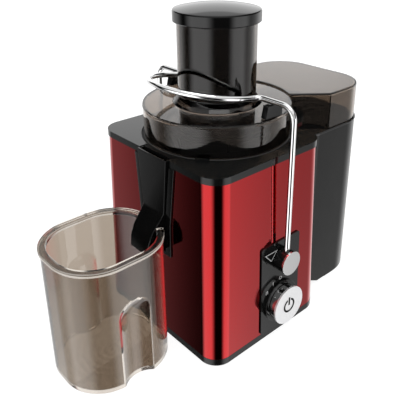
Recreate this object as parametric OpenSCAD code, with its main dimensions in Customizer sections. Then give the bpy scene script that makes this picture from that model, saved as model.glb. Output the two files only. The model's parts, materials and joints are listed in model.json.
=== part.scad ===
// Centrifugal juicer: a red steel housing with a bail-locked lid, a spinning filter basket,
// a juice cup on the left and a pulp container on the right.
// Units are millimetres. +Z is up, the control panel faces -Y, the juice cup stands at -X.
// The origin is on the table, under the axis of the motor, the basket and the feed tube.

/* [Housing] */
// Height from the table to the top of the cover
body_h = 212; // [208:1:218]
// Width of the housing at the table
body_w = 163; // [160:1:168]
// Depth of the housing at the table
body_d = 193; // [190:1:198]
// How far each wall leans in between the table and the top
body_lean = 4.5; // [3:0.5:5.5]
// Radius of the upright corners
body_r = 20; // [18:1:24]
// Thickness of the painted steel
steel = 1.2; // [0.8:0.1:1.6]
// Height of the black base strip's top edge
base_top = 9.5; // [9:0.5:11]
// Thickness of the black cover's rim
rim_h = 7; // [6:0.5:8]

/* [Lid and feed tube] */
// Radius of the lid at its top edge
lid_r = 79; // [77:1:80]
// Height of the lid's top face
lid_top = 246; // [244:1:250]
// Outer radius of the feed tube at its mouth
tube_r = 41; // [39:0.5:42]
// Height of the feed tube's mouth
tube_top = 329; // [320:1:334]
// Wall of the clear plastic parts
clear_wall = 2.4; // [2:0.1:2.8]

/* [Pusher] */
// Radius of the pusher's cap
cap_r = 45; // [43:0.5:46]
// Height of the pusher's cap
cap_h = 17; // [12:1:18]
// Travel of the pusher that still leaves it in the tube
pusher_travel = 90; // [60:5:100]

/* [Juice cup] */
// Outer length of the cup, along X
cup_l = 114; // [110:1:116]
// Outer width of the cup, along Y
cup_w = 102; // [98:1:104]
// Height of the cup's rim
cup_h = 140; // [134:1:142]
// Corner radius of the cup's outline
cup_r = 44; // [40:1:48]

/* [Pulp container] */
// X of the container's wall beside the housing
pulp_x0 = 73.5; // [73:0.5:76]
// X of the container's far wall
pulp_x1 = 180; // [174:1:182]
// Width of the container, along Y
pulp_w = 145; // [140:1:148]
// Height of the container's rim
pulp_h = 203; // [198:1:204]
// Corner radius of the container's far side
pulp_r = 44; // [42:1:50]

/* [Locking arm] */
// X of the arm's pivot, and of the knob below it
front_x = 2.5; // [0:0.5:4]
// Height of the arm's pivot
pivot_z = 95; // [90:1:98]
// Radius of the bright rod
rod_r = 2.9; // [2.5:0.1:3.2]
// Distance of the rod's legs from the middle, along Y
leg_y = 103.5; // [102.5:0.5:105]
// Height of the rod where it crosses the lid
bow_z = 262; // [260:1:264]
// Radius of the bow's round end
bow_r = 57; // [55:1:59]

/* [Knob] */
// Height of the knob's axis
knob_z = 42; // [40:1:46]
// Radius of the knob's bright face
knob_r = 21.7; // [20:0.1:22.5]

/* [Hidden] */
$fn = 64;

eps = 0.02;
fit = 0.05;
body_cx = -10;
foot_h = 2;
shell_top = body_h - rim_h;
lean_angle = atan(body_lean / body_h);
front_z0 = base_top + 0.5;
panel_t = 1.6;
panel_w = 58;
panel_h = 106;
recess_r = 81.2;
well_r = 62;
well_z = 150;
bowl_wall = 2;
bowl_r = well_r - 2.5;
bowl_z = 160;
bowl_top = body_h - 0.6;
flange_t = 3.6;
spout_top_w = 46;
spout_y = -4.5;
spindle_r = 4;
cup_x1 = -93;
cup_wall = 2.2;
rim_ledge = 6;
nose_z = 110;
hood_z = 247;
basket_r0 = 38;
basket_r1 = 54;
basket_z0 = 172;
basket_z1 = 224;
hub_r = 12.6;
leg_foot = 4.5;
bend_r = 13;
bow_bend = 8;
bow_side = 12;
bow_tilt = 11;
joint_r = 3.15;
pin_r = 4;
motor_z = 70;

function half_w(z) = body_w / 2 - body_lean * z / body_h;
function half_d(z) = body_d / 2 - body_lean * z / body_h;

// ---- shared shapes ----

// A rounded rectangle with true arcs, centred on the origin
module rounded(w, d, r) {
    square([w - 2 * r, d], center = true);
    square([w, d - 2 * r], center = true);
    for (x = [-1, 1], y = [-1, 1])
        translate([x * (w / 2 - r), y * (d / 2 - r)])
            circle(r);
}

// The housing's leaning block between two heights, grown by a margin
module housing_slab(z0, z1, margin = 0) {
    hull()
        for (z = [z0, z1 - eps])
            translate([body_cx, 0, z])
                linear_extrude(height = eps)
                    rounded(2 * (half_w(z) + margin), 2 * (half_d(z) + margin), body_r + margin);
}

// A straight rounded block centred on the housing
module housing_block(w, d, r, z0, z1) {
    translate([body_cx, 0, z0])
        linear_extrude(height = z1 - z0)
            rounded(w, d, r);
}

// Puts a flat piece on the leaning front wall: its X is right, its Z is up, and -Y points out
module on_front(x, z) {
    translate([x, -half_d(z), z])
        rotate([-lean_angle, 0, 0])
            children();
}

// Puts a flat piece on the leaning left wall: its Y is the housing's Y and -X points out
module on_left(z) {
    translate([body_cx - half_w(z), 0, z])
        rotate([0, lean_angle, 0])
            children();
}

// A cylinder along Y from y0 to y1
module rod_y(r, y0, y1) {
    translate([0, y0, 0])
        rotate([-90, 0, 0])
            cylinder(r = r, h = y1 - y0);
}

// A hollow ring along Y
module ring_y(r_out, r_in, y0, y1) {
    difference() {
        rod_y(r_out, y0, y1);
        rod_y(r_in, y0 - 1, y1 + 1);
    }
}

// A hollow ring along Z
module ring_z(r_out, r_in, z0, z1) {
    translate([0, 0, z0])
        difference() {
            cylinder(r = r_out, h = z1 - z0);
            translate([0, 0, -1])
                cylinder(r = r_in, h = z1 - z0 + 2);
        }
}

// A pan-head screw standing on its point, head on top
module screw(r, len) {
    cylinder(r = r, h = len);
    translate([0, 0, len])
        difference() {
            cylinder(r = 2 * r, h = 1.4 * r);
            translate([-1.4 * r, -0.3 * r, 0.7 * r])
                cube([2.8 * r, 0.6 * r, r]);
            translate([-0.3 * r, -1.4 * r, 0.7 * r])
                cube([0.6 * r, 2.8 * r, r]);
        }
}

module corners(dx, dy, cx = body_cx) {
    for (x = [-1, 1], y = [-1, 1])
        translate([cx + x * dx, y * dy, 0])
            children();
}

// ---- housing ----

// Tray that closes the housing from below; its edge is the black strip under the red steel
module base_plate() {
    w = 2 * half_w(base_top / 2);
    d = 2 * half_d(base_top / 2);
    color("#1c1d1c")
        difference() {
            union() {
                difference() {
                    housing_block(w, d, body_r, foot_h, base_top);
                    housing_block(w - 8, d - 8, body_r - 4, foot_h + 3, base_top + 1);
                }
                corners(58, 72)
                    translate([0, 0, foot_h])
                        cylinder(r = 6, h = 12);
                corners(30, 30, 0)
                    translate([0, 0, foot_h])
                        cylinder(r = 7, h = 8);
            }
            corners(58, 72) {
                translate([0, 0, foot_h - 1])
                    cylinder(r = 2, h = 20);
                translate([0, 0, foot_h - 1])
                    cylinder(r = 3.7, h = 3.1);
            }
            corners(30, 30, 0)
                translate([0, 0, foot_h - 1])
                    cylinder(r = 2, h = 20);
            corners(58, 60)
                translate([0, 0, foot_h - 1])
                    cylinder(r = 3, h = 2);
            for (i = [-3:3])
                translate([body_cx + i * 8 - 2, -22, foot_h - 1])
                    cube([4, 44, 5]);
        }
}

// Four rubber feet with a stud pressed into the tray
module rubber_feet() {
    color("#2b2b2b")
        corners(58, 60) {
            cylinder(r = 9, h = foot_h);
            translate([0, 0, foot_h - eps])
                cylinder(r = 2.9, h = 1);
        }
}

// Folded steel sleeve, lacquered red, with cut-outs for the spout, the controls and the lead
module body_shell() {
    color("#9c1f24")
        difference() {
            housing_slab(base_top, shell_top);
            housing_slab(base_top - 1, shell_top + 1, -steel);
            spout_window(-0.4);
            for (y = [-body_d / 2, body_d / 2])
                translate([front_x, y, pivot_z])
                    rod_y(8.5, -12, 12);
            translate([front_x, -body_d / 2, knob_z])
                rod_y(8, -12, 12);
            translate([body_cx + 50, body_d / 2, 28])
                rod_y(7.2, -12, 12);
        }
}

// Opening of the left wall that the spout frame fills
module spout_window(margin) {
    top = 29 + margin;
    low = 22 + margin;
    on_left(nose_z)
        translate([-4, spout_y, 0])
            rotate([90, 0, 90])
                linear_extrude(height = 12)
                    polygon([[-low, -4], [low, -4], [low, 30], [top, 96], [-top, 96], [-low, 30]]);
}

// Black top with the shallow recess of the lid and the deep well of the bowl
module top_cover() {
    w = 2 * half_w(shell_top) + 2;
    d = 2 * half_d(shell_top) + 2;
    skirt_z = shell_top - 6;
    color("#26292a")
        difference() {
            union() {
                housing_block(w, d, body_r + 1, shell_top, body_h);
                difference() {
                    housing_block(w - 7, d - 7, body_r - 3, skirt_z, shell_top);
                    housing_block(w - 12, d - 12, body_r - 6, skirt_z - 1, shell_top + 1);
                }
                translate([0, 0, well_z])
                    cylinder(r = well_r + 2, h = shell_top - well_z);
                corners(64, 79)
                    translate([0, 0, shell_top - 22])
                        cylinder(r = 4.5, h = 22);
                rotate([0, 0, 218])
                    translate([recess_r + 0.4, -7, body_h - 1])
                        cube([3.2, 14, 3.4]);
            }
            translate([0, 0, bowl_top - flange_t])
                cylinder(r = recess_r, h = rim_h);
            translate([0, 0, well_z + 2.5])
                cylinder(r = well_r, h = 80);
            translate([0, 0, well_z - 1])
                cylinder(r = 18, h = 10);
            translate([-100, spout_y - 19, bowl_z - 1])
                cube([60, 38, 80]);
            translate([-100, spout_y - spout_top_w / 2 - 0.5, skirt_z - 1])
                cube([16.6, spout_top_w + 1, 20]);
            translate([-84, spout_y - spout_top_w / 2 - 0.5, bowl_top - flange_t])
                cube([14, spout_top_w + 1, rim_h]);
            corners(64, 79)
                translate([0, 0, shell_top - 23])
                    cylinder(r = 1.6, h = 18);
        }
}

// Black surround of the spout, let into the left wall
module spout_frame() {
    color("#1a1c1c")
        difference() {
            on_left(nose_z)
                translate([-1.8, spout_y, 0])
                    rotate([90, 0, 90])
                        linear_extrude(height = 4)
                            difference() {
                                polygon([[-25, -6], [25, -6], [25, 30], [32, 94.6], [-32, 94.6], [-25, 30]]);
                                polygon([[-17, -2], [17, -2], [17, 30], [24.6, 96], [-24.6, 96], [-17, 30]]);
                            }
            difference() {
                housing_slab(base_top, shell_top, 0.02);
                housing_slab(base_top - 1, shell_top + 1, -8);
                spout_window(-0.6);
            }
        }
}

// Black plate on the front wall that carries the arm's pivot and the knob
module control_panel() {
    color("#161717")
        difference() {
            on_front(front_x, front_z0)
                translate([-panel_w / 2, -panel_t - eps, 0])
                    rotate([90, 0, 0])
                        translate([panel_w / 2, panel_h / 2, -panel_t])
                            linear_extrude(height = panel_t)
                                rounded(panel_w, panel_h, 3);
            translate([front_x, -body_d / 2, pivot_z])
                rod_y(8.5, -12, 12);
            translate([front_x, -body_d / 2, knob_z])
                rod_y(6, -12, 12);
        }
}

// A printed mark lying on the panel's face
module mark(x, z) {
    on_front(front_x + x, z)
        translate([0, -panel_t - 0.06, 0])
            rotate([90, 0, 0])
                linear_extrude(height = 0.2)
                    children();
}

// Printed signs: a triangle over the arm's pivot and the knob's stops 0, 1 and 2
module panel_marks() {
    color("#f2f2f2") {
        mark(-15, 102)
            difference() {
                polygon([[-9.6, 5.1], [9.6, 5.1], [0, -5.4]]);
                polygon([[-7.6, 4.2], [7.6, 4.2], [0, -4.1]]);
            }
        mark(stop_x(0), stop_z(0))
            difference() {
                circle(2.1);
                circle(1.4);
            }
        mark(stop_x(1), stop_z(1))
            square([0.9, 4.2], center = true);
        mark(stop_x(2), stop_z(2))
            for (x = [-1.1, 1.1])
                translate([x, 0])
                    square([0.9, 4.2], center = true);
    }
}

stop_r = 28;
stop_step = 24;
function stop_x(i) = -stop_r * sin(i * stop_step);
function stop_z(i) = knob_z + stop_r * cos(i * stop_step);

// Fixed black ring that the knob turns in
module knob_collar() {
    color("#111212")
        on_front(front_x, knob_z)
            ring_y(24.2, 20.1, -panel_t - 2.8, -panel_t - eps);
}

// Two plastic bushes, pressed into the walls, that the arm's pins turn in
module pivot_bushes() {
    color("#3a3a3a")
        for (side = [0, 180])
            rotate([0, 0, side])
                translate([side == 0 ? front_x : -front_x, 0, pivot_z]) {
                    ring_y(8.4, pin_r + fit, -96.4, -82);
                    ring_y(11, pin_r + fit, -92.6, -90.6);
                }
}

// Plug of the lead's way in, low on the back wall
module cord_gland() {
    color("#151515")
        translate([body_cx + 50, 0, 28]) {
            ring_y(7, 3.6, 88, 99.5);
            ring_y(10, 3.6, 96.4, 99.5);
            ring_y(10, 3.6, 91, 93.6);
        }
}

// ---- bowl, spout and lid ----

// Bowl that catches the juice, with its outlet to the left and the flange the lid sits on
module filter_bowl() {
    color("#1f2121")
        difference() {
            union() {
                rotate_extrude()
                    polygon([
                        [14, bowl_z], [bowl_r, bowl_z], [bowl_r, bowl_top - flange_t],
                        [80.7, bowl_top - flange_t], [80.7, bowl_top], [79.2, bowl_top],
                        [79.2, bowl_top - 1.6], [bowl_r - bowl_wall, bowl_top - 1.6],
                        [bowl_r - bowl_wall, bowl_z + 2.5], [17, bowl_z + 2.5],
                        [17, bowl_z + 11], [14, bowl_z + 11]
                    ]);
                translate([-83.8, spout_y - 17.6, bowl_z])
                    cube([28, 35.2, 32]);
                translate([-83.6, spout_y - spout_top_w / 2, bowl_top - flange_t])
                    cube([9, spout_top_w, flange_t]);
            }
            translate([0, 0, bowl_z + 2.5])
                ring_z(bowl_r - bowl_wall, 17, 0, 46);
            translate([0, 0, bowl_top - 1.6])
                cylinder(r = 79.2, h = 4);
            translate([-88, spout_y - 15.4, bowl_z + 2.5])
                cube([34, 30.8, 27.2]);
            translate([70.5, -50, bowl_top - 5])
                cube([20, 100, 6]);
        }
}

// Side outline of the spout's outer face, from its lip to the nose over the cup
module spout_profile(t) {
    polygon([
        [-83.6, 211.4], [-91.4 + t, 211.4], [-91.8 + t, 152], [-96 + t, 146], [-106 + t, 134],
        [-111 + t, 122], [-112 + t, nose_z - (t > 0 ? 2 : 0)], [-93, nose_z - (t > 0 ? 2 : 0)], [-86, 118]
    ]);
}

// Front outline of the spout, wide at its lip and narrow at the nose
module spout_front(m) {
    polygon([
        [-15 + m, nose_z - 3], [15 - m, nose_z - 3], [16 - m, 140], [spout_top_w / 2 - m, 212],
        [-spout_top_w / 2 + m, 212], [-16 + m, 140]
    ]);
}

// The space between the side outline and the front outline, at a margin inside both
module spout_solid(t) {
    intersection() {
        translate([0, 30, 0])
            rotate([90, 0, 0])
                linear_extrude(height = 60)
                    spout_profile(t);
        translate([-120, 0, 0])
            rotate([90, 0, 90])
                linear_extrude(height = 40)
                    spout_front(t);
    }
}

// Tongue that leads the juice from the bowl's outlet down to the cup
module juice_spout() {
    color("#141616")
        translate([0, spout_y, 0])
            difference() {
                spout_solid(0);
                spout_solid(2);
                translate([-88.5, -14, bowl_z + 4])
                    cube([8, 28, 24]);
            }
}

// Silicone ring between the bowl's flange and the lid
module bowl_seal() {
    color("#8d8d8a")
        ring_z(78.8, 75.2, bowl_top - 1.6, bowl_top);
}

// Smoky lid with the feed tube; its wall stands on the bowl's seal and opens to the pulp hood
module lid() {
    z0 = bowl_top + 0.1;
    color("#6d665d", 0.55)
        difference() {
            rotate_extrude()
                polygon([
                    [lid_r - 3.4, z0], [lid_r - 1, z0], [lid_r - 0.7, lid_top - 4], [lid_r, lid_top - 2.4],
                    [lid_r - 1, lid_top], [tube_r + 6, lid_top], [tube_r + 2.6, lid_top + 4],
                    [tube_r, tube_top], [tube_r - clear_wall, tube_top], [tube_r - clear_wall, 212],
                    [tube_r - 1, 212], [tube_r + 0.4, lid_top - clear_wall - 3],
                    [tube_r + 5, lid_top - clear_wall], [lid_r - 3.1, lid_top - clear_wall]
                ]);
            translate([50, -42, z0 + 4])
                cube([60, 84, lid_top - clear_wall - z0 - 5]);
        }
}

// Plan of the pulp hood: it widens from the lid to the container's full width
module hood_plan(m) {
    difference() {
        union() {
            far_plan(1.2 + m, 100);
            polygon([
                [50, -28 + m], [103, -pulp_w / 2 + 1.2 + m], [103, pulp_w / 2 - 1.2 - m], [50, 28 - m]
            ]);
        }
        circle(lid_r + 0.3 + m);
    }
}

// Smoky hood that carries the pulp from the lid over to the container
module pulp_hood() {
    color("#8f8a84", 0.6)
        difference() {
            union() {
                translate([0, 0, pulp_h + 3])
                    linear_extrude(height = hood_z - pulp_h - 3)
                        hood_plan(0);
                translate([0, 0, pulp_h + 0.4])
                    linear_extrude(height = 2.6)
                        pulp_plan(-0.6);
            }
            translate([0, 0, pulp_h + 5])
                linear_extrude(height = hood_z - pulp_h - 5 - clear_wall)
                    hood_plan(clear_wall);
            translate([60, -39, body_h + 4])
                cube([30, 78, hood_z - body_h - 4 - 4.5]);
            translate([0, 0, pulp_h - 1])
                linear_extrude(height = 7)
                    intersection() {
                        pulp_plan(6);
                        hood_plan(clear_wall);
                    }
            ring_z(lid_r + 0.3, 20, pulp_h - 1, hood_z + 1);
            translate([0, 0, pulp_h - 1])
                cylinder(r = 82.4, h = bowl_top + 0.3 - pulp_h + 1);
            translate([0, -pulp_w / 2 - 1, pulp_h - 1])
                cube([71.5, pulp_w + 2, body_h + 0.4 - pulp_h + 1]);
        }
}

// Black ears on the lid that the rod presses down when it is locked
module lid_catches() {
    color("#121313")
        for (side = [-1, 1])
            translate([front_x - 6, side * 74 + 3.5, lid_top])
                rotate([90, 0, 0])
                    linear_extrude(height = 7)
                        polygon([
                            [-4, 0], [20, 0], [19, 9], [16.4, 14], [12.4, 16.4],
                            [9.8, 16], [9.8, 12.6], [-1, 12.6]
                        ]);
}

// ---- motor ----

// Pressed plate that carries the stator, its bearings and the dampers
module motor_chassis() {
    color("#b9bcc0")
        difference() {
            union() {
                translate([-42, -42, 14])
                    cube([84, 84, 2.5]);
                translate([-13, -42, 14])
                    cube([26, 2.5, 112]);
                translate([-13, 39.5, 14])
                    cube([26, 2.5, 112]);
                translate([-13, -42, 124])
                    cube([26, 84, 2.5]);
                translate([0, 0, 14])
                    cylinder(r = 13, h = 9);
                translate([0, 0, 118])
                    cylinder(r = 13, h = 8.5);
            }
            translate([0, 0, 10])
                cylinder(r = 9, h = 120);
            corners(30, 30, 0)
                translate([0, 0, 10])
                    cylinder(r = 2.6, h = 10);
        }
}

// Rubber grommets between the tray's posts and the motor
module motor_dampers() {
    color("#222222")
        corners(30, 30, 0)
            ring_z(6, 2.2, foot_h + 8, 14);
}

// Screws that hold the motor down through the dampers
module motor_screws() {
    color("#c9c9c9")
        corners(30, 30, 0)
            translate([0, 0, 4.5])
                screw(1.9, 12.1);
}

// Screws that hold the cover to the posts of the tray
module cover_screws() {
    color("#c9c9c9")
        corners(64, 79)
            translate([0, 0, shell_top - 18])
                rotate([180, 0, 0])
                    translate([0, 0, -7])
                        screw(1.5, 13);
}

// Screws that close the tray from below
module base_screws() {
    color("#c9c9c9")
        corners(58, 72)
            translate([0, 0, 16])
                rotate([180, 0, 0]) {
                    translate([0, 0, 2])
                        cylinder(r = 1.9, h = 11.4);
                    translate([0, 0, 12])
                        cylinder(r = 3.6, h = 1.4);
                }
}

// Laminated stator with two poles
module stator_core() {
    color("#77787a")
        difference() {
            translate([-34, -38, motor_z - 18])
                cube([68, 76, 36]);
            translate([0, 0, motor_z - 19])
                cylinder(r = 22.5, h = 38);
            for (y = [-1, 1])
                translate([-23, y * 25 - 6, motor_z - 19])
                    cube([46, 12, 38]);
        }
}

// Two field coils round the stator's poles
module field_coils() {
    color("#b5652a")
        for (side = [-1, 1])
            translate([0, side * 25, motor_z])
                difference() {
                    translate([-22.5, -5.5, -25])
                        cube([45, 11, 50]);
                    translate([0, -side * 25, -26])
                        cylinder(r = 23.2, h = 52);
                }
}

// Bearing that carries the spindle: outer race, balls' cage and inner race as one ring
module bearing(z0, z1) {
    ring_z(9, spindle_r + fit, z0, z1);
}

module upper_bearing() {
    color("#d0d2d4")
        bearing(119, 126);
}

module lower_bearing() {
    color("#d0d2d4")
        bearing(15, 22);
}

// Plastic cages that guide the brushes to the commutator
module brush_holders() {
    color("#5a4a38")
        for (side = [0, 180])
            rotate([0, 0, side])
                translate([0, 0, 34])
                    difference() {
                        translate([14.5, -5, -5])
                            cube([22, 10, 10]);
                        translate([13, -3.1, -3.1])
                            cube([20, 6.2, 6.2]);
                    }
}

// Two carbon brushes
module carbon_brushes() {
    color("#2e2e30")
        for (side = [0, 180])
            rotate([0, 0, side])
                translate([12.4, -3, 31])
                    cube([17, 6, 6]);
}

// Switch behind the knob
module speed_switch() {
    color("#d8d4c4")
        difference() {
            translate([front_x - 14, -90, knob_z - 14])
                cube([28, 26, 28]);
            translate([front_x, -91, knob_z])
                rod_y(3 + fit, 0, 16);
        }
}

// Switch that stops the motor unless the arm is locked
module interlock_switch() {
    color("#202428")
        translate([front_x - 10, -80, pivot_z + 9.6]) {
            cube([20, 6.4, 16]);
            translate([8, 1.2, -1.2])
                cube([4, 4, 1.3]);
        }
}

// Suppressor capacitor on the tray
module suppressor() {
    color("#d9b23c")
        translate([-62, -60, foot_h + 3])
            cube([26, 10, 18]);
}

// ---- turning parts ----

// Spindle of the motor
module motor_shaft() {
    color("#e0e0e0")
        translate([0, 0, 16])
            cylinder(r = spindle_r, h = 138);
}

// Laminated rotor with its slots
module rotor_core() {
    color("#6a6c70")
        difference() {
            translate([0, 0, motor_z - 18])
                cylinder(r = 21.6, h = 36);
            translate([0, 0, motor_z - 19])
                cylinder(r = spindle_r, h = 38);
            for (i = [0:11])
                rotate([0, 0, i * 30])
                    translate([14, -1.6, motor_z - 19])
                        cube([10, 3.2, 38]);
        }
}

// Rotor windings that stand out over and under the core
module rotor_windings() {
    color("#b5652a") {
        ring_z(19, spindle_r, motor_z + 18, motor_z + 27);
        ring_z(19, spindle_r, motor_z - 26, motor_z - 18);
    }
}

// Commutator with its bars
module commutator() {
    color("#c07a3e")
        difference() {
            ring_z(12, spindle_r, 27, 43);
            for (i = [0:23])
                rotate([0, 0, i * 15])
                    translate([10.6, -0.3, 26])
                        cube([3, 0.6, 18]);
        }
}

// Fan that cools the motor
module cooling_fan() {
    color("#e8e6df") {
        ring_z(9, spindle_r, 99, 113);
        ring_z(31, 8.9, 99, 101);
        for (i = [0:9])
            rotate([0, 0, i * 36])
                translate([8.5, -0.8, 101 - eps])
                    cube([21, 1.6, 11]);
    }
}

// Toothed coupling on the spindle that the basket drops on to
module drive_coupling() {
    color("#2c2c2c")
        difference() {
            union() {
                translate([0, 0, 136])
                    cylinder(r = 11, h = 22);
                for (i = [0:5])
                    rotate([0, 0, i * 60])
                        translate([5, -1.8, 158 - eps])
                            cube([6, 3.6, 9]);
                translate([0, 0, 158 - eps])
                    cylinder(r = 6.2, h = 9);
            }
            translate([0, 0, 135])
                cylinder(r = spindle_r, h = 19);
        }
}

// Plastic floor, hub and top ring of the basket
module basket_frame() {
    color("#cfcfca") {
        difference() {
            union() {
                translate([0, 0, basket_z0])
                    cylinder(r = basket_r0 + 2, h = 3.4);
                translate([0, 0, 158.4])
                    cylinder(r = 13.4, h = 15);
            }
            translate([0, 0, 157])
                cylinder(r = 6.5, h = 11);
            for (i = [0:5])
                rotate([0, 0, i * 60])
                    translate([4.6, -2.1, 157])
                        cube([6.8, 4.2, 11]);
        }
        ring_z(basket_r1 + 3, basket_r1 - 0.4, basket_z1 - 5, basket_z1);
        for (i = [0:5])
            rotate([0, 0, i * 60])
                basket_rib();
    }
}

// One slanting rib that joins the basket's floor to its ring
module basket_rib() {
    rotate([90, 0, 0])
        translate([0, 0, -1.5])
            linear_extrude(height = 3)
                polygon([
                    [basket_r0 + 0.9, basket_z0 + 1], [basket_r0 + 2.6, basket_z0 + 1],
                    [basket_r1 + 2.4, basket_z1 - 1], [basket_r1 + 0.8, basket_z1 - 1]
                ]);
}

// Conical filter sieve
module filter_mesh() {
    color("#d5d7d9")
        rotate_extrude()
            polygon([
                [basket_r0 + 0.2, basket_z0 + 3.5], [basket_r0 + 0.8, basket_z0 + 3.5],
                [basket_r1 - 0.6, basket_z1 - 5.1], [basket_r1 - 1.2, basket_z1 - 5.1]
            ]);
}

// Steel disc with rings of raised teeth that grates the fruit
module grater_disc() {
    color("#e3e5e6") {
        translate([0, 0, basket_z0 + 3.5])
            cylinder(r = basket_r0 - 0.3, h = 0.8);
        for (ring = [0:3], i = [0:7 + 5 * ring])
            rotate([0, 0, i * 360 / (8 + 5 * ring) + ring * 9])
                translate([9 + ring * 8 - 0.5, -1.6, basket_z0 + 4.2])
                    cube([1, 3.2, 1.6]);
    }
}

// ---- locking arm ----

// A piece of the rod bent to an arc in the XY plane, from angle 0 to the angle given
module rod_arc(r, angle) {
    rotate_extrude(angle = angle)
        translate([r, 0])
            circle(rod_r);
}

// The front leg, its bend over the lid, the link that runs in and its turn towards the bow
module half_arm() {
    translate([front_x, -leg_y, pivot_z + leg_foot])
        cylinder(r = rod_r, h = bow_z - bend_r - pivot_z - leg_foot);
    translate([front_x, -leg_y + bend_r, bow_z - bend_r])
        rotate([90, 0, -90])
            rod_arc(bend_r, 90);
    translate([front_x, -leg_y + bend_r, bow_z])
        rotate([-90, 0, 0])
            cylinder(r = rod_r, h = leg_y - bend_r - bow_r - bow_bend);
    translate([front_x - bow_bend, -bow_r - bow_bend, bow_z])
        rod_arc(bow_bend, 90);
    translate([front_x - bow_bend, -bow_r, bow_z])
        sphere(joint_r);
}

// The bright bail: two legs, two links and the rising bow that passes round the feed tube
module arm_rod() {
    color("#e9ebec") {
        half_arm();
        mirror([0, 1, 0])
            half_arm();
        translate([front_x - bow_bend, 0, bow_z])
            rotate([0, bow_tilt, 0]) {
                for (side = [-1, 1])
                    translate([0, side * bow_r, 0])
                        rotate([0, -90, 0])
                            cylinder(r = rod_r, h = bow_side);
                translate([-bow_side, 0, 0])
                    rotate([0, 0, 90])
                        rod_arc(bow_r, 180);
            }
    }
}

// Black bosses that hold the rod's legs
module arm_hubs() {
    color("#141414")
        for (side = [-1, 1])
            translate([front_x, 0, pivot_z])
                difference() {
                    rod_y(hub_r, side > 0 ? 97.2 : -108.6, side > 0 ? 108.6 : -97.2);
                    translate([0, side * leg_y, leg_foot])
                        cylinder(r = rod_r, h = 20);
                    rod_y(pin_r, side > 0 ? 96 : -105, side > 0 ? 105 : -96);
                }
}

// Bright discs on the bosses
module arm_caps() {
    color("#eceded")
        for (side = [-1, 1])
            translate([front_x, 0, pivot_z])
                rod_y(13.2, side > 0 ? 108.65 : -110.8, side > 0 ? 110.8 : -108.65);
}

// Steel pins that turn in the bushes, with a clip groove at their inner ends
module arm_pins() {
    color("#c8cacc")
        for (side = [-1, 1])
            translate([front_x, 0, pivot_z])
                difference() {
                    rod_y(pin_r, side > 0 ? 74 : -105, side > 0 ? 105 : -74);
                    ring_y(pin_r + 1, pin_r - 0.6, side > 0 ? 79.4 : -80.4, side > 0 ? 80.4 : -79.4);
                }
}

// Cam on the front pin that holds the interlock switch closed
module interlock_cam() {
    color("#d8d4c4")
        translate([front_x, 0, pivot_z])
            difference() {
                union() {
                    rod_y(7.6, -79, -74.6);
                    translate([-2, -79, 0])
                        cube([4, 4.4, 8.1]);
                }
                rod_y(pin_r, -80, -73);
            }
}

// ---- knob ----

// Bright barrel of the knob
module knob_body() {
    color("#d9dadb")
        translate([front_x, 0, knob_z])
            difference() {
                rod_y(19.4, -108.6, -98.6);
                rod_y(3, -106, -97);
            }
}

// Bright face of the knob, wider than its barrel
module knob_face() {
    color("#f0f1f1")
        translate([front_x, 0, knob_z])
            rod_y(knob_r, -110.6, -108.65);
}

// Printed power symbol on the knob's face
module knob_symbol() {
    color("#101010")
        translate([front_x, -110.65, knob_z])
            rotate([90, 0, 0])
                linear_extrude(height = 0.25) {
                    difference() {
                        circle(8.4);
                        circle(6.2);
                        translate([-2.6, 0])
                            square([5.2, 12]);
                    }
                    translate([-1.1, 0.5])
                        square([2.2, 9.5]);
                }
}

// Shaft from the knob to the speed switch
module switch_shaft() {
    color("#bfc1c3")
        translate([front_x, 0, knob_z])
            rod_y(3, -106, -76);
}

// ---- pusher, cup and container ----

// Smoky pusher: a hollow barrel with a wide cap over the tube's mouth
module pusher() {
    top = tube_top + 0.6;
    barrel = tube_r - clear_wall - 1;
    color("#2a2c2b", 0.9)
        rotate_extrude()
            polygon([
                [0, top + cap_h], [14, top + cap_h - 0.5], [28, top + cap_h - 2],
                [cap_r - 2, top + cap_h - 5], [cap_r, top + cap_h - 6.9], [cap_r, top], [barrel, top],
                [barrel - 0.6, 226],
                [barrel - 2.6, 226], [barrel - 2.6, top + 1], [28, top + cap_h - 8], [0, top + cap_h - 8.6]
            ]);
}

// Outline of the cup at a margin inside its outer wall
module cup_plan(m) {
    rounded(cup_l - 2 * m, cup_w - 2 * m, cup_r - m);
}

// The scoop that the fingers grip, on one side of the cup
module grip(extra) {
    scoop_r = 24 + extra;
    for (side = [-1, 1])
        translate([0, side * (cup_w / 2 + 17), -1]) {
            cylinder(r = scoop_r, h = 78);
            translate([0, 0, 78])
                sphere(scoop_r);
        }
}

// Smoky cup with a broad flat rim, a finger scoop on each side and a notch for the spout
module juice_cup() {
    color("#7a6d5f", 0.55)
        translate([cup_x1 - cup_l / 2, 0, 0])
            difference() {
                union() {
                    linear_extrude(height = cup_h)
                        cup_plan(0);
                    translate([0, 0, cup_h - 3.6])
                        linear_extrude(height = 3.6)
                            cup_plan(-1.6);
                }
                difference() {
                    translate([0, 0, 3])
                        linear_extrude(height = cup_h - 6)
                            cup_plan(cup_wall);
                    grip(cup_wall);
                }
                translate([0, 0, cup_h - 5])
                    linear_extrude(height = 6)
                        cup_plan(rim_ledge);
                grip(0);
                translate([cup_l / 2 - 14, spout_y - 19, nose_z - 6])
                    cube([30, 38, 60]);
            }
}

// The pulp container's plan from x0 outwards, with its two large corners
module far_plan(m, x0) {
    x1 = pulp_x1 - m;
    half = pulp_w / 2 - m;
    large = pulp_r - m;
    translate([x0, -half])
        square([x1 - x0 - large, 2 * half]);
    translate([x1 - large - 0.1, -half + large])
        square([large + 0.1, 2 * (half - large)]);
    for (y = [-1, 1])
        translate([x1 - large, y * (half - large)])
            circle(large);
}

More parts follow.
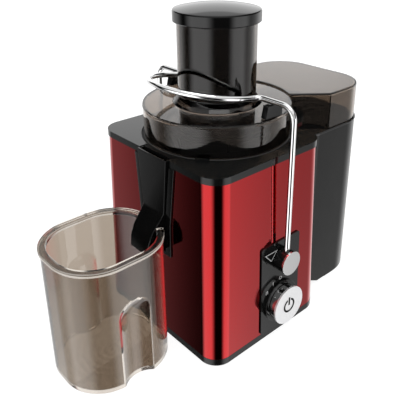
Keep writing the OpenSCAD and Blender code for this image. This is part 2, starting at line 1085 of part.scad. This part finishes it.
// Plan of the pulp container
module pulp_plan(m) {
    half = pulp_w / 2 - m;
    small = 12 - m * 0.5;
    far_plan(m, pulp_x0 + m + small);
    translate([pulp_x0 + m, -half + small])
        square([small + 1, 2 * (half - small)]);
    for (y = [-1, 1])
        translate([pulp_x0 + m + small, y * (half - small)])
            circle(small);
}

// Side outline of the pulp container: its floor rises towards the housing
module pulp_side(m) {
    polygon([
        [pulp_x0 + m - 1, 26], [pulp_x0 + m - 1, pulp_h + 1], [pulp_x1 + 1, pulp_h + 1], [pulp_x1 + 1, m],
        [pulp_x0 + 46, m], [pulp_x0 + 28 + m / 3, 3 + m], [pulp_x0 + 12 + m / 2, 11 + m]
    ]);
}

// Black bin that stands beside the housing and catches the pulp
module pulp_container() {
    wall = 2.4;
    color("#33332f")
        difference() {
            intersection() {
                union() {
                    translate([0, 0, 3])
                        linear_extrude(height = pulp_h - 3)
                            pulp_plan(0);
                    linear_extrude(height = 3.1)
                        pulp_plan(2);
                }
                translate([0, 90, 0])
                    rotate([90, 0, 0])
                        linear_extrude(height = 180)
                            pulp_side(0);
            }
            intersection() {
                translate([0, 0, wall])
                    linear_extrude(height = pulp_h)
                        pulp_plan(wall);
                translate([0, 90, 0])
                    rotate([90, 0, 0])
                        linear_extrude(height = 180)
                            pulp_side(wall);
            }
        }
}

base_plate();
rubber_feet();
body_shell();
top_cover();
spout_frame();
control_panel();
panel_marks();
knob_collar();
pivot_bushes();
cord_gland();
filter_bowl();
juice_spout();
bowl_seal();
lid();
pulp_hood();
lid_catches();
motor_chassis();
motor_dampers();
stator_core();
field_coils();
upper_bearing();
lower_bearing();
brush_holders();
carbon_brushes();
motor_screws();
cover_screws();
base_screws();
speed_switch();
interlock_switch();
suppressor();
motor_shaft();
rotor_core();
rotor_windings();
commutator();
cooling_fan();
drive_coupling();
basket_frame();
filter_mesh();
grater_disc();
arm_rod();
arm_hubs();
arm_caps();
arm_pins();
interlock_cam();
knob_body();
knob_face();
knob_symbol();
switch_shaft();
pusher();
juice_cup();
pulp_container();
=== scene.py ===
"""Looks of a centrifugal juicer: red lacquered housing, smoky plastics, chrome bail and knob."""
import math

import bpy
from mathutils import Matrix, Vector
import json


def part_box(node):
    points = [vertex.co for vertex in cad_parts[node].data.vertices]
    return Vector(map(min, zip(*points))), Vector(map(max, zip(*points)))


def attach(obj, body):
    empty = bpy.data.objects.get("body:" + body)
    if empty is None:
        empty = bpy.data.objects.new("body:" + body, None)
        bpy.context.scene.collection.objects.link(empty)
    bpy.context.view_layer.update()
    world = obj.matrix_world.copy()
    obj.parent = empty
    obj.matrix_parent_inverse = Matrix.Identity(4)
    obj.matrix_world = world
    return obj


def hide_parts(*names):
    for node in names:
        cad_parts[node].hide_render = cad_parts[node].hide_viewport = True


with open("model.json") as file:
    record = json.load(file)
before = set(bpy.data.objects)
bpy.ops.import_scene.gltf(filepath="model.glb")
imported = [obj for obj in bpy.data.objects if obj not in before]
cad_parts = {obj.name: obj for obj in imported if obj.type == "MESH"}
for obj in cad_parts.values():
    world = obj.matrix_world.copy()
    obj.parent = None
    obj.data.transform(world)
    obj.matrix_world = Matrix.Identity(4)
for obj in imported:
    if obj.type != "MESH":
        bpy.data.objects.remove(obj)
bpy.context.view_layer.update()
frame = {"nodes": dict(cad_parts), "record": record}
nodes = frame["nodes"]
slot_of = {s["node"]: s["material_slot"] for s in frame["record"]["subparts"]}


# ---- materials ----

def material(name, color, rough, metallic=0.0, coat=0.0, coat_rough=0.03, transmission=0.0, ior=1.5,
             spec=0.5, shade=0.06, rough_shade=0.05, grain=60.0, bump=0.0, bump_scale=400.0, stretch=(1, 1, 1)):
    """A procedural surface: a colour and a roughness that wander a little, and a fine grain."""
    m = bpy.data.materials.new(name)
    m.use_nodes = True
    nt = m.node_tree
    bsdf = nt.nodes["Principled BSDF"]
    bsdf.inputs["Metallic"].default_value = metallic
    bsdf.inputs["IOR"].default_value = ior
    bsdf.inputs["Specular IOR Level"].default_value = spec
    bsdf.inputs["Coat Weight"].default_value = coat
    bsdf.inputs["Coat Roughness"].default_value = coat_rough
    bsdf.inputs["Transmission Weight"].default_value = transmission
    coords = nt.nodes.new("ShaderNodeTexCoord")
    mapping = nt.nodes.new("ShaderNodeMapping")
    mapping.inputs["Scale"].default_value = stretch
    nt.links.new(coords.outputs["Object"], mapping.inputs["Vector"])
    noise = nt.nodes.new("ShaderNodeTexNoise")
    noise.inputs["Scale"].default_value = grain
    noise.inputs["Detail"].default_value = 4
    nt.links.new(mapping.outputs["Vector"], noise.inputs["Vector"])
    ramp = nt.nodes.new("ShaderNodeMix")
    ramp.data_type = "RGBA"
    ramp.inputs["A"].default_value = (*[c * (1 - shade) for c in color], 1)
    ramp.inputs["B"].default_value = (*[min(1, c * (1 + shade)) for c in color], 1)
    nt.links.new(noise.outputs["Fac"], ramp.inputs["Factor"])
    nt.links.new(ramp.outputs["Result"], bsdf.inputs["Base Color"])
    span = nt.nodes.new("ShaderNodeMapRange")
    span.inputs["To Min"].default_value = max(0.0, rough - rough_shade)
    span.inputs["To Max"].default_value = rough + rough_shade
    nt.links.new(noise.outputs["Fac"], span.inputs["Value"])
    nt.links.new(span.outputs["Result"], bsdf.inputs["Roughness"])
    if bump:
        fine = nt.nodes.new("ShaderNodeTexNoise")
        fine.inputs["Scale"].default_value = bump_scale
        nt.links.new(mapping.outputs["Vector"], fine.inputs["Vector"])
        node = nt.nodes.new("ShaderNodeBump")
        node.inputs["Strength"].default_value = bump
        node.inputs["Distance"].default_value = 0.0003
        nt.links.new(fine.outputs["Fac"], node.inputs["Height"])
        nt.links.new(node.outputs["Normal"], bsdf.inputs["Normal"])
    return m


MATERIALS = {
    "red_steel": material("red_lacquer", (0.40, 0.009, 0.011), 0.08, metallic=1.0, coat=0.4, coat_rough=0.02,
                          grain=8, shade=0.04, rough_shade=0.02),
    "black_base": material("black_base", (0.004, 0.004, 0.004), 0.2, spec=0.35, bump=0.05, bump_scale=900),
    "cover_black": material("cover_black", (0.003, 0.0035, 0.0035), 0.13, spec=0.4, bump=0.02, bump_scale=1200),
    "panel_black": material("panel_black", (0.004, 0.004, 0.004), 0.1, rough_shade=0.03, spec=0.45),
    "spout_black": material("spout_black", (0.003, 0.003, 0.003), 0.08, rough_shade=0.03, spec=0.45),
    "white_print": material("white_print", (0.42, 0.42, 0.42), 0.5, bump=0.05),
    "black_print": material("black_print", (0.004, 0.004, 0.004), 0.6, spec=0.1, bump=0.05),
    "feet_rubber": material("feet_rubber", (0.03, 0.03, 0.03), 0.75, bump=0.2),
    "seal_rubber": material("seal_rubber", (0.03, 0.03, 0.03), 0.6, bump=0.1),
    "damper_rubber": material("damper_rubber", (0.03, 0.03, 0.03), 0.7, bump=0.2),
    "inner_grey": material("inner_grey", (0.004, 0.004, 0.004), 0.4, spec=0.05, bump=0.05),
    "inner_cream": material("inner_cream", (0.6, 0.56, 0.44), 0.45, bump=0.1),
    "smoky_lid": material("smoky_lid", (0.42, 0.36, 0.31), 0.02, transmission=1.0, ior=1.5, shade=0.03,
                          rough_shade=0.01, grain=20),
    "smoky_hood": material("smoky_hood", (0.26, 0.215, 0.175), 0.03, transmission=1.0, ior=1.5, spec=1.0,
                           shade=0.03, rough_shade=0.02, grain=20),
    "smoky_cup": material("smoky_cup", (0.375, 0.315, 0.255), 0.05, transmission=1.0, ior=1.47, shade=0.03,
                          rough_shade=0.03, grain=20),
    "smoky_pusher": material("smoky_pusher", (0.003, 0.003, 0.003), 0.06, rough_shade=0.03),
    "bin_black": material("bin_black", (0.004, 0.004, 0.0038), 0.2, spec=0.3, bump=0.02, bump_scale=900),
    "chrome": material("chrome", (0.9, 0.9, 0.9), 0.05, metallic=1.0, rough_shade=0.03, shade=0.02),
    "knob_silver": material("knob_silver", (0.86, 0.86, 0.87), 0.3, metallic=0.7, shade=0.04, grain=300),
    "steel": material("steel", (0.62, 0.63, 0.64), 0.3, metallic=1.0, shade=0.08, grain=200),
    "sieve_steel": material("sieve_steel", (0.12, 0.12, 0.12), 0.35, metallic=1.0, shade=0.1, grain=300),
    "lamination": material("lamination", (0.2, 0.2, 0.21), 0.45, metallic=1.0, grain=900, stretch=(0.05, 0.05, 1)),
    "copper": material("copper", (0.55, 0.22, 0.08), 0.3, metallic=1.0, shade=0.2, grain=700,
                       stretch=(0.1, 0.1, 1)),
    "carbon": material("carbon", (0.03, 0.03, 0.03), 0.6, bump=0.2),
    "yellow_film": material("yellow_film", (0.7, 0.45, 0.06), 0.3, bump=0.04),
    "basket_plastic": material("basket_plastic", (0.008, 0.008, 0.008), 0.4, spec=0.1, bump=0.05),
    # A much darker copy of the lid's smoky plastic for the tube alone: painted shade that keeps the tube dark.
    "smoky_tube_painted_dark": material("smoky_tube_painted_dark", (0.13, 0.11, 0.095), 0.02, transmission=1.0, ior=1.5, shade=0.03,
                           rough_shade=0.01, grain=20),
    "smoky_rim": material("smoky_rim", (0.24, 0.2, 0.16), 0.06, transmission=1.0, ior=1.4, shade=0.03,
                          rough_shade=0.02, grain=20),
    "pusher_barrel": material("pusher_barrel", (0.003, 0.003, 0.003), 0.3, spec=0.0),
}


def dress(name, edge=0.0004):
    """Gives a CAD node its material, small rounded edges and normals that keep its flats flat."""
    node = nodes[name]
    node.data.materials.clear()
    node.data.materials.append(MATERIALS[slot_of[name]])
    weld = node.modifiers.new("weld", "WELD")
    weld.merge_threshold = 1e-6
    bevel = node.modifiers.new("bevel", "BEVEL")
    bevel.width = edge
    bevel.segments = 2
    bevel.limit_method = "ANGLE"
    bevel.angle_limit = math.radians(35)
    flat = node.modifiers.new("flat", "WEIGHTED_NORMAL")
    flat.mode = "FACE_AREA"
    flat.weight = 100


EDGES = {"top_cover": 0.001, "pulp_container": 0.0008, "control_panel": 0.0006, "spout_frame": 0.0005,
         "juice_spout": 0.0006, "lid_catches": 0.0006, "knob_face": 0.0005, "arm_caps": 0.0005}
for name in nodes:
    dress(name, EDGES.get(name, 0.0003))


# ---- pieces with a finer shape than their CAD node ----

CORNER = 0.0008
WELD_GAP = 0.0001


def piece(name, verts, faces, slot, body, *stands_for, look=None):
    """A mesh that rides on a body and stands for CAD nodes; look names another surface of the same slot."""
    mesh = bpy.data.meshes.new(name)
    mesh.from_pydata(verts, [], faces)
    mesh.validate()
    mesh.shade_smooth()
    mesh.set_sharp_from_angle(angle=math.radians(30))
    mesh.materials.append(MATERIALS[look or slot])
    obj = bpy.data.objects.new(name, mesh)
    bpy.context.scene.collection.objects.link(obj)
    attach(obj, body)
    if stands_for:
        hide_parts(*stands_for)
    return obj


def rounded_profile(points, radius, steps=3):
    """Rounds the corners of a closed outline of (r, z) points; a corner on the axis stays sharp."""
    out, n = [], len(points)
    for i, p in enumerate(points):
        p = Vector(p)
        a, b = Vector(points[i - 1]), Vector(points[(i + 1) % n])
        if p.x < 1e-6:
            out.append((p.x, p.y))
            continue
        da, db = (a - p), (b - p)
        cut = min(radius, da.length * 0.45, db.length * 0.45)
        start, end = p + da.normalized() * cut, p + db.normalized() * cut
        for k in range(steps + 1):
            t = k / steps
            v = (1 - t) ** 2 * start + 2 * t * (1 - t) * p + t * t * end
            out.append((v.x, v.y))
    return out


def revolve(name, section, center, slot, body, *stands_for, n=180, look=None):
    """Joins the closed cross-sections that section(angle) gives as (r, z) points about a centre."""
    loops = [section(2 * math.pi * i / n) for i in range(n)]
    m = len(loops[0])
    verts, faces = [], []
    for i, loop in enumerate(loops):
        c, s = math.cos(2 * math.pi * i / n), math.sin(2 * math.pi * i / n)
        verts += [(center[0] + r * c, center[1] + r * s, z) for r, z in loop]
    for i in range(n):
        a, b = i * m, (i + 1) % n * m
        for k in range(m):
            j = (k + 1) % m
            if loops[i][k][0] > 1e-6 or loops[i][j][0] > 1e-6:
                faces.append((a + k, b + k, b + j, a + j))
    obj = piece(name, verts, faces, slot, body, *stands_for, look=look)
    weld = obj.modifiers.new("weld", "WELD")
    weld.merge_threshold = 1e-6
    flat = obj.modifiers.new("flat", "WEIGHTED_NORMAL")
    flat.mode = "FACE_AREA"
    flat.weight = 100
    flat.keep_sharp = True
    return obj


def reach_box(angle, half_x, half_y, radius):
    """Distance from the middle of a rounded rectangle to its edge."""
    c, s = abs(math.cos(angle)), abs(math.sin(angle))
    if c > 1e-9 and half_x * s / c <= half_y - radius:
        return half_x / c
    if s > 1e-9 and half_y * c / s <= half_x - radius:
        return half_y / s
    mx, my = half_x - radius, half_y - radius
    along = mx * c + my * s
    return along + math.sqrt(max(0.0, along ** 2 - mx ** 2 - my ** 2 + radius ** 2))


def reach_circle(angle, cx, cy, radius):
    """Distance along a ray to the near side of a circle, or a large number."""
    along = cx * math.cos(angle) + cy * math.sin(angle)
    left = along ** 2 - cx ** 2 - cy ** 2 + radius ** 2
    return along - math.sqrt(left) if left > 0 and along > 0 else 10.0


def make_pusher():
    """The pusher: a domed glossy cap and a dull barrel that shows through the tube."""
    lo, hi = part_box("pusher")
    top, low, r = hi.z, lo.z, hi.x
    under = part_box("lid")[1].z + 0.0006
    barrel, steps, rise = 0.0376, 16, 0.005
    dome = [(r * 0.955 * i / steps, top - rise * (i / steps) ** 2) for i in range(steps + 1)]
    cap = dome + [(r - 0.0008, top - 0.0054), (r, top - 0.0069), (r, under + 0.0006), (r - 0.0006, under),
                  (barrel, under), (barrel - 0.003, under + 0.001), (0.03, top - 0.0082), (0.0, top - 0.0086)]
    tube = [(barrel, under), (barrel - 0.0006, low), (barrel - 0.0026, low), (barrel - 0.0026, under)]
    revolve("pusher_cap", lambda angle: cap, (0, 0), "smoky_pusher", "pusher", "pusher")
    revolve("pusher_barrel", lambda angle: tube, (0, 0), "smoky_pusher", "pusher", look="pusher_barrel")


def make_lid():
    """The lid with its tube; the wall stands open towards the pulp hood."""
    lo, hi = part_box("lid")
    low, top, mouth, r = lo.z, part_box("lid_catches")[0].z, hi.z, hi.x
    tube, wall = 0.041, 0.0024
    outer = [(r - 0.0034, low), (r - 0.001, low), (r - 0.0007, top - 0.004), (r, top - 0.0024),
             (r - 0.001, top)]
    joint = tube + 0.0062
    deck = [(joint, top), (joint, top - wall), (r - 0.0031, top - wall)]
    profile = rounded_profile(outer, CORNER) + deck
    chute = rounded_profile([(joint - WELD_GAP, top), (tube + 0.0026, top + 0.004), (tube, top + 0.009),
                             (tube, mouth), (tube - wall, mouth), (tube - wall, low + 0.0006),
                             (tube - 0.001, low + 0.0006), (tube + 0.0004, top - wall - 0.003),
                             (joint - WELD_GAP, top - wall)], CORNER)
    open_half = math.asin(0.042 / r)

    def section(angle):
        turn = (angle + math.pi) % (2 * math.pi) - math.pi
        if abs(turn) > open_half:
            return profile
        return [(x, max(z, top - wall - 0.001)) if x > r - 0.006 else (x, z) for x, z in profile]

    revolve("lid_body", section, (0, 0), "smoky_lid", "housing", "lid", n=192)
    # The tube wears the darker copy of the lid's plastic, which is painted shade.
    revolve("lid_tube", lambda angle: chute, (0, 0), "smoky_lid", "housing", n=192, look="smoky_tube_painted_dark")


def make_cup():
    """The cup with its broad rim, its finger scoops and the notch for the spout."""
    lo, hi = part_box("juice_cup")
    bead = 0.0016
    half_x, half_y = (hi.x - lo.x) / 2 - bead, (hi.y - lo.y) / 2 - bead
    center = ((lo.x + hi.x) / 2, 0.0)
    height, corner, wall, ledge = hi.z, 0.044, 0.0022, 0.006
    scoop_r, scoop_top, scoop_y = 0.024, 0.078, half_y + 0.017
    arch = [scoop_top + 0.0015 * i for i in range(1, 19)]
    notch_z, notch_lo, notch_hi = 0.104, math.radians(-23), math.radians(15)

    def plan(angle, margin):
        return reach_box(angle, half_x - margin, half_y - margin, corner - margin)

    def side(angle, z, margin):
        reach = plan(angle, margin)
        up = max(0.0, z - scoop_top)
        radius = scoop_r + margin
        if up < radius:
            radius = math.sqrt(radius ** 2 - up ** 2)
            reach = min(reach, reach_circle(angle, 0, scoop_y, radius), reach_circle(angle, 0, -scoop_y, radius))
        return reach

    levels = [0.0015, 0.03, 0.055, scoop_top] + arch + [0.12]
    inner_levels = [0.134, 0.12] + arch[::-1] + [scoop_top, 0.055, 0.03, 0.0045]

    def section(angle):
        foot = side(angle, 0, 0)
        loop = [(0.0, 0.0), (foot - 0.01, 0.0), (foot - 0.0015, 0.0), (foot - 0.0004, 0.0004)]
        loop += [(side(angle, z, 0), z) for z in levels]
        loop += [(plan(angle, 0), height - 0.0051), (plan(angle, wall), height - 0.0051)]
        loop += [(side(angle, z, wall), z) for z in inner_levels]
        foot = side(angle, 0.003, wall)
        loop += [(foot - 0.0015, 0.003), (foot - 0.01, 0.003), (0.0, 0.003)]
        return [(x, min(z, notch_z)) for x, z in loop] if in_notch(angle) else loop

    def in_notch(angle):
        return notch_lo < (angle + math.pi) % (2 * math.pi) - math.pi < notch_hi

    def rim_section(angle):
        rim, mouth, low = plan(angle, 0), plan(angle, ledge), height - 0.005
        if in_notch(angle):
            return [(plan(angle, wall), low)] * 10
        return [(rim, low), (rim, height - 0.0036), (rim + bead - 0.0004, height - 0.0036),
                (rim + bead, height - 0.003), (rim + bead, height - 0.0008), (rim + bead - 0.0008, height),
                (mouth + 0.0008, height), (mouth, height - 0.0008), (mouth, height - 0.0042),
                (mouth + 0.0006, low)]

    cup = revolve("cup_body", section, center, "smoky_cup", "cup", "juice_cup", n=360)
    rim = revolve("cup_rim", rim_section, center, "smoky_cup", "cup", n=360, look="smoky_rim")
    cup.visible_glossy = rim.visible_glossy = False


def make_hood():
    """The hood over the pulp container, with its black lip on the container's rim."""
    lo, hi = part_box("pulp_hood")
    bin_lo, bin_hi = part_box("pulp_container")
    mid, lip_start, inset = 0.118, 0.0725, 0.0012
    far, half, corner, wall = bin_hi.x, (bin_hi.y - bin_lo.y) / 2, 0.044, 0.0024
    lid_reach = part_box("lid")[1].x + 0.0003
    lip_low, body_low, top = lo.z, lo.z + 0.0026, hi.z

    def plan(angle, margin):
        """Edge of the hood: the lid's round, two flanks that widen, and the container's far corners."""
        c, s = math.cos(angle), abs(math.sin(angle))
        edge = half - inset - margin
        if c > 0:
            reach = reach_box(angle, far - inset - margin - mid, edge, corner - inset - margin)
        else:
            reach = edge / max(s, 1e-6)
        if c < 0:
            slope = (half - 0.0292) / 0.053
            free = slope * c - s
            flank = -(0.028 - margin + slope * (mid - 0.05)) / free if free < 0 else 10.0
            reach = min(reach, flank)
            along = -mid * c
            left = along ** 2 - mid ** 2 + (lid_reach + margin) ** 2
            if left > 0:
                reach = min(reach, along - math.sqrt(left))
        return reach

    def rim(angle, margin):
        c = math.cos(angle)
        reach_x = (far - margin - mid) if c > 0 else (mid - bin_lo.x - margin)
        return reach_box(angle, reach_x, half - margin, (corner if c > 0 else 0.012) - margin)

    def section(angle):
        out, inn = plan(angle, 0), plan(angle, wall)
        beside_lid = abs(math.sin(angle)) * out < 0.039 and math.cos(angle) < 0
        low = top - 0.0055 if beside_lid else body_low
        return [(out, low), (out, low + 0.001), (out, top - 0.003), (out, top - 0.0014),
                (out - 0.0004, top - 0.0004), (out - 0.0014, top), (out - 0.003, top), (out - 0.02, top), (0.0, top), (0.0, top - wall),
                (inn - 0.018, top - wall), (inn - 0.003, top - wall), (inn - 0.001, top - wall),
                (inn, top - wall - 0.001), (inn, top - wall - 0.003), (inn, low + 0.001), (inn, low)]

    def lip(angle):
        out = rim(angle, -0.0006)
        if mid + out * math.cos(angle) < lip_start:
            out = (mid - lip_start) / max(1e-6, -math.cos(angle))
        inn = min(rim(angle, 0.006), plan(angle, wall), out - 0.001)
        return [(out - 0.0004, lip_low), (out, lip_low + 0.0006), (out, body_low - 0.0006),
                (out - 0.0006, body_low), (inn, body_low), (inn, lip_low)]

    revolve("hood_body", section, (mid, 0), "smoky_hood", "housing", "pulp_hood", n=240)
    revolve("hood_lip", lip, (mid, 0), "spout_black", "housing", n=240)


make_pusher()
make_lid()
make_cup()
make_hood()


# ---- stage, light and camera ----

def stage_floor():
    """A pale floor that curves up into a round backdrop."""
    profile = [(0.0, 0.0), (3.5, 0.0), (3.8, 0.05), (4.0, 0.25), (4.0, 4.0)]
    verts, faces, n = [(0, 0, 0)], [], 96
    for r, z in profile[1:]:
        verts += [(r * math.cos(2 * math.pi * i / n), r * math.sin(2 * math.pi * i / n), z) for i in range(n)]
    faces += [(0, 1 + i, 1 + (i + 1) % n) for i in range(n)]
    for k in range(len(profile) - 2):
        a, b = 1 + k * n, 1 + (k + 1) * n
        faces += [(a + i, b + i, b + (i + 1) % n, a + (i + 1) % n) for i in range(n)]
    mesh = bpy.data.meshes.new("floor")
    mesh.from_pydata(verts, [], faces)
    floor = bpy.data.objects.new("floor", mesh)
    bpy.context.scene.collection.objects.link(floor)
    m = material("floor_white", (0.25, 0.25, 0.25), 0.9, shade=0.01, grain=3)
    bsdf = m.node_tree.nodes["Principled BSDF"]
    bsdf.inputs["Emission Color"].default_value = (1, 1, 1, 1)
    bsdf.inputs["Emission Strength"].default_value = 0.88
    mesh.materials.append(m)
    floor.visible_glossy = False


def studio_world():
    """Broad soft boxes all round, a pale cove behind and a soft overhead."""
    world = bpy.data.worlds.new("studio")
    bpy.context.scene.world = world
    world.use_nodes = True
    nt = world.node_tree
    back = nt.nodes["Background"]
    coords = nt.nodes.new("ShaderNodeTexCoord")
    split = nt.nodes.new("ShaderNodeSeparateXYZ")
    nt.links.new(coords.outputs["Generated"], split.inputs["Vector"])

    def op(kind, a, b=None, c=None):
        node = nt.nodes.new("ShaderNodeMath")
        node.operation = kind
        for i, value in enumerate(v for v in (a, b, c) if v is not None):
            if isinstance(value, (int, float)):
                node.inputs[i].default_value = value
            else:
                nt.links.new(value, node.inputs[i])
        return node.outputs[0]

    def ramp(value, lo, hi, out_lo, out_hi):
        node = nt.nodes.new("ShaderNodeMapRange")
        node.interpolation_type = "SMOOTHSTEP"
        nt.links.new(value, node.inputs["Value"])
        for key, v in (("From Min", lo), ("From Max", hi), ("To Min", out_lo), ("To Max", out_hi)):
            node.inputs[key].default_value = v
        return node.outputs["Result"]

    azimuth = op("MULTIPLY", op("ARCTAN2", split.outputs["Y"], split.outputs["X"]), 180 / math.pi)

    def strip(center, half, soft, strength):
        """A vertical soft box round an azimuth in degrees."""
        gap = op("ABSOLUTE", op("WRAP", op("SUBTRACT", azimuth, center), -180, 180))
        return ramp(gap, half - soft, half + soft, strength, 0.0)

    height = split.outputs["Z"]
    total = 0.006
    for low, high, boxes in ZONES:
        zone = None
        for box in boxes:
            lit = strip(*box)
            zone = lit if zone is None else op("ADD", lit, zone)
        inside = op("MULTIPLY", ramp(height, low - 0.015, low + 0.015, 0.0, 1.0),
                    ramp(height, high - 0.015, high + 0.015, 1.0, 0.0))
        total = op("ADD", total, op("MULTIPLY", zone, inside))
    nt.links.new(total, back.inputs["Strength"])
    back.inputs["Color"].default_value = (1, 1, 1, 1)


# Each zone runs between two heights on the unit sphere and holds soft boxes:
# azimuth, half width, softness (all in degrees) and strength
ZONES = [
    (-2.0, 0.02, [(180, 30, 14, 1.7), (290, 22, 12, 1.7), (345, 30, 15, 0.6), (25, 40, 18, 0.7), (90, 30, 14, 0.9)]),
    (0.02, 0.5, [(58, 30, 10, 1.3), (230, 60, 30, 0.5)]),
    (0.5, 2.0, [(0, 200, 5, 0.8)]),
]


def area_light(name, position, target, size, power):
    data = bpy.data.lights.new(name, "AREA")
    data.shape = "RECTANGLE"
    data.size, data.size_y = size
    data.energy = power
    light = bpy.data.objects.new(name, data)
    light.location = position
    light.rotation_euler = (Vector(target) - Vector(position)).to_track_quat("-Z", "Y").to_euler()
    bpy.context.scene.collection.objects.link(light)
    return light


def photo_camera():
    """Stands where the picture was taken from: in front, to the left and above."""
    data = bpy.data.cameras.new("camera")
    data.sensor_width = 36
    data.lens = 50.7
    data.shift_x = -0.0505
    data.shift_y = -0.15
    data.clip_start, data.clip_end = 0.01, 30
    cam = bpy.data.objects.new("camera", data)
    cam.location = (-0.3802, -0.4187, 0.4365)
    cam.rotation_euler = (math.radians(90 - 22.74), 0, -math.radians(42.57))
    bpy.context.scene.collection.objects.link(cam)
    bpy.context.scene.camera = cam


stage_floor()
studio_world()
area_light("top", (-0.2, -0.3, 1.6), (0, 0, 0.15), (1.0, 1.0), 7)
photo_camera()
bpy.context.scene.view_settings.view_transform = "Standard"
